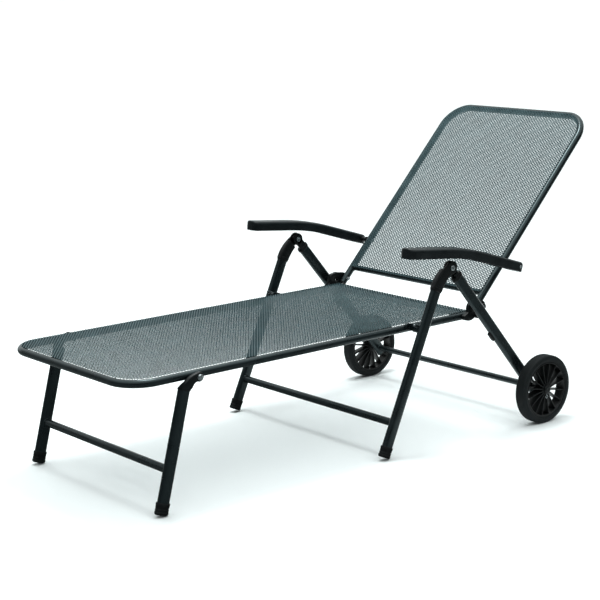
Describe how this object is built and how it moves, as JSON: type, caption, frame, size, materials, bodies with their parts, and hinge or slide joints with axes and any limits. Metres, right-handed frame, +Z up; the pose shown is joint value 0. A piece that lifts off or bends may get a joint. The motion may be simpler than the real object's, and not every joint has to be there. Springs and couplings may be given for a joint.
{
  "type": "reclining sun lounger",
  "caption": "Garden lounger of steel tube and expanded metal with a hinged reclining back, swinging armrests, folding legs and wheels at the head end.",
  "frame": {"origin": "on the ground, under the middle of the lounger's length and width with its legs out and its back at the rest angle", "axes": "+X from the foot end to the head end, +Y to the sitter's right, +Z up"},
  "size_m": [1.7644, 0.822, 0.9137],
  "materials": {
    "powder_coated_tube": "satin anthracite powder coat",
    "coated_mesh": "satin anthracite powder coat on expanded metal",
    "moulded_plastic": "fine-textured black moulding",
    "armrest_plastic": "satin dark grey moulding",
    "foot_rubber": "matt",
    "tyre_rubber": "matt",
    "zinc_plated_steel": "bright zinc plating"
  },
  "bodies": {
    "deck": {"deck_foot_tube": "powder_coated_tube", "deck_rail_left": "powder_coated_tube", "deck_rail_right": "powder_coated_tube", "deck_rear_tube": "powder_coated_tube", "deck_mesh": "coated_mesh", "rail_end_plugs": "moulded_plastic", "front_hinge_bolts": "zinc_plated_steel", "middle_bracket_left": "powder_coated_tube", "middle_bracket_right": "powder_coated_tube", "middle_hinge_bolts": "zinc_plated_steel", "end_bracket_left": "moulded_plastic", "end_bracket_right": "moulded_plastic", "backrest_hinge_bolts": "zinc_plated_steel"},
    "front_legs": {"front_leg_left": "powder_coated_tube", "front_leg_right": "powder_coated_tube", "front_crossbar": "powder_coated_tube", "front_elbow_left": "moulded_plastic", "front_elbow_right": "moulded_plastic", "front_foot_left": "foot_rubber", "front_foot_right": "foot_rubber"},
    "middle_legs": {"middle_leg_left": "powder_coated_tube", "middle_leg_right": "powder_coated_tube", "middle_crossbar": "powder_coated_tube", "middle_head_left": "moulded_plastic", "middle_head_right": "moulded_plastic", "middle_foot_left": "foot_rubber", "middle_foot_right": "foot_rubber", "knee_rivets": "zinc_plated_steel"},
    "rear_legs": {"rear_leg_left": "powder_coated_tube", "rear_leg_right": "powder_coated_tube", "rear_head_left": "moulded_plastic", "rear_head_right": "moulded_plastic", "axle_tube": "powder_coated_tube", "axle_rod": "zinc_plated_steel", "axle_spacers": "moulded_plastic", "axle_caps": "moulded_plastic", "rear_leg_plugs": "moulded_plastic", "rest_stud_left": "moulded_plastic", "rest_stud_right": "moulded_plastic", "leg_stop_left": "moulded_plastic", "leg_stop_right": "moulded_plastic"},
    "wheel_left": {"wheel_rim_left": "moulded_plastic", "tyre_left": "tyre_rubber"},
    "wheel_right": {"wheel_rim_right": "moulded_plastic", "tyre_right": "tyre_rubber"},
    "backrest": {"backrest_frame": "powder_coated_tube", "backrest_crossbar": "powder_coated_tube", "backrest_mesh": "coated_mesh", "backrest_plugs": "moulded_plastic", "arm_spacers": "moulded_plastic", "arm_pins": "zinc_plated_steel"},
    "armrest_left": {"armrest_left": "armrest_plastic"},
    "armrest_right": {"armrest_right": "armrest_plastic"}
  },
  "joints": [
    {"name": "front_leg_fold", "type": "hinge", "parent": "deck", "child": "front_legs", "pos_m": [-0.67121, 0, 0.35], "axis": [0, 1, 0], "range_deg": [-100, 0]},
    {"name": "leg_fold", "type": "hinge", "parent": "deck", "child": "middle_legs", "pos_m": [0.10037, 0, 0.354], "axis": [0, 1, 0], "range_deg": [0, 57]},
    {"name": "rear_leg_fold", "type": "hinge", "parent": "middle_legs", "child": "rear_legs", "pos_m": [0.20779, 0, 0.521], "axis": [0, 1, 0], "range_deg": [-100, 0]},
    {"name": "wheel_left_spin", "type": "hinge", "parent": "rear_legs", "child": "wheel_left", "pos_m": [0.56379, -0.388, 0.105], "axis": [0, 1, 0], "continuous": true},
    {"name": "wheel_right_spin", "type": "hinge", "parent": "rear_legs", "child": "wheel_right", "pos_m": [0.56379, 0.388, 0.105], "axis": [0, 1, 0], "continuous": true},
    {"name": "backrest_recline", "type": "hinge", "parent": "deck", "child": "backrest", "pos_m": [0.37079, 0, 0.3785], "axis": [0, 1, 0], "range_deg": [-28, 46.2]},
    {"name": "armrest_left_swing", "type": "hinge", "parent": "backrest", "child": "armrest_left", "pos_m": [0.47807, -0.347, 0.49037], "axis": [0, 1, 0], "range_deg": [-31, 19]},
    {"name": "armrest_right_swing", "type": "hinge", "parent": "backrest", "child": "armrest_right", "pos_m": [0.47807, 0.347, 0.49037], "axis": [0, 1, 0], "range_deg": [-31, 19]}
  ],
  "couplings": [
    {"joint": "rear_leg_fold", "follows": "leg_fold", "ratio": -1.75},
    {"joint": "armrest_left_swing", "follows": "backrest_recline", "ratio": -0.66},
    {"joint": "armrest_right_swing", "follows": "backrest_recline", "ratio": -0.66}
  ]
}
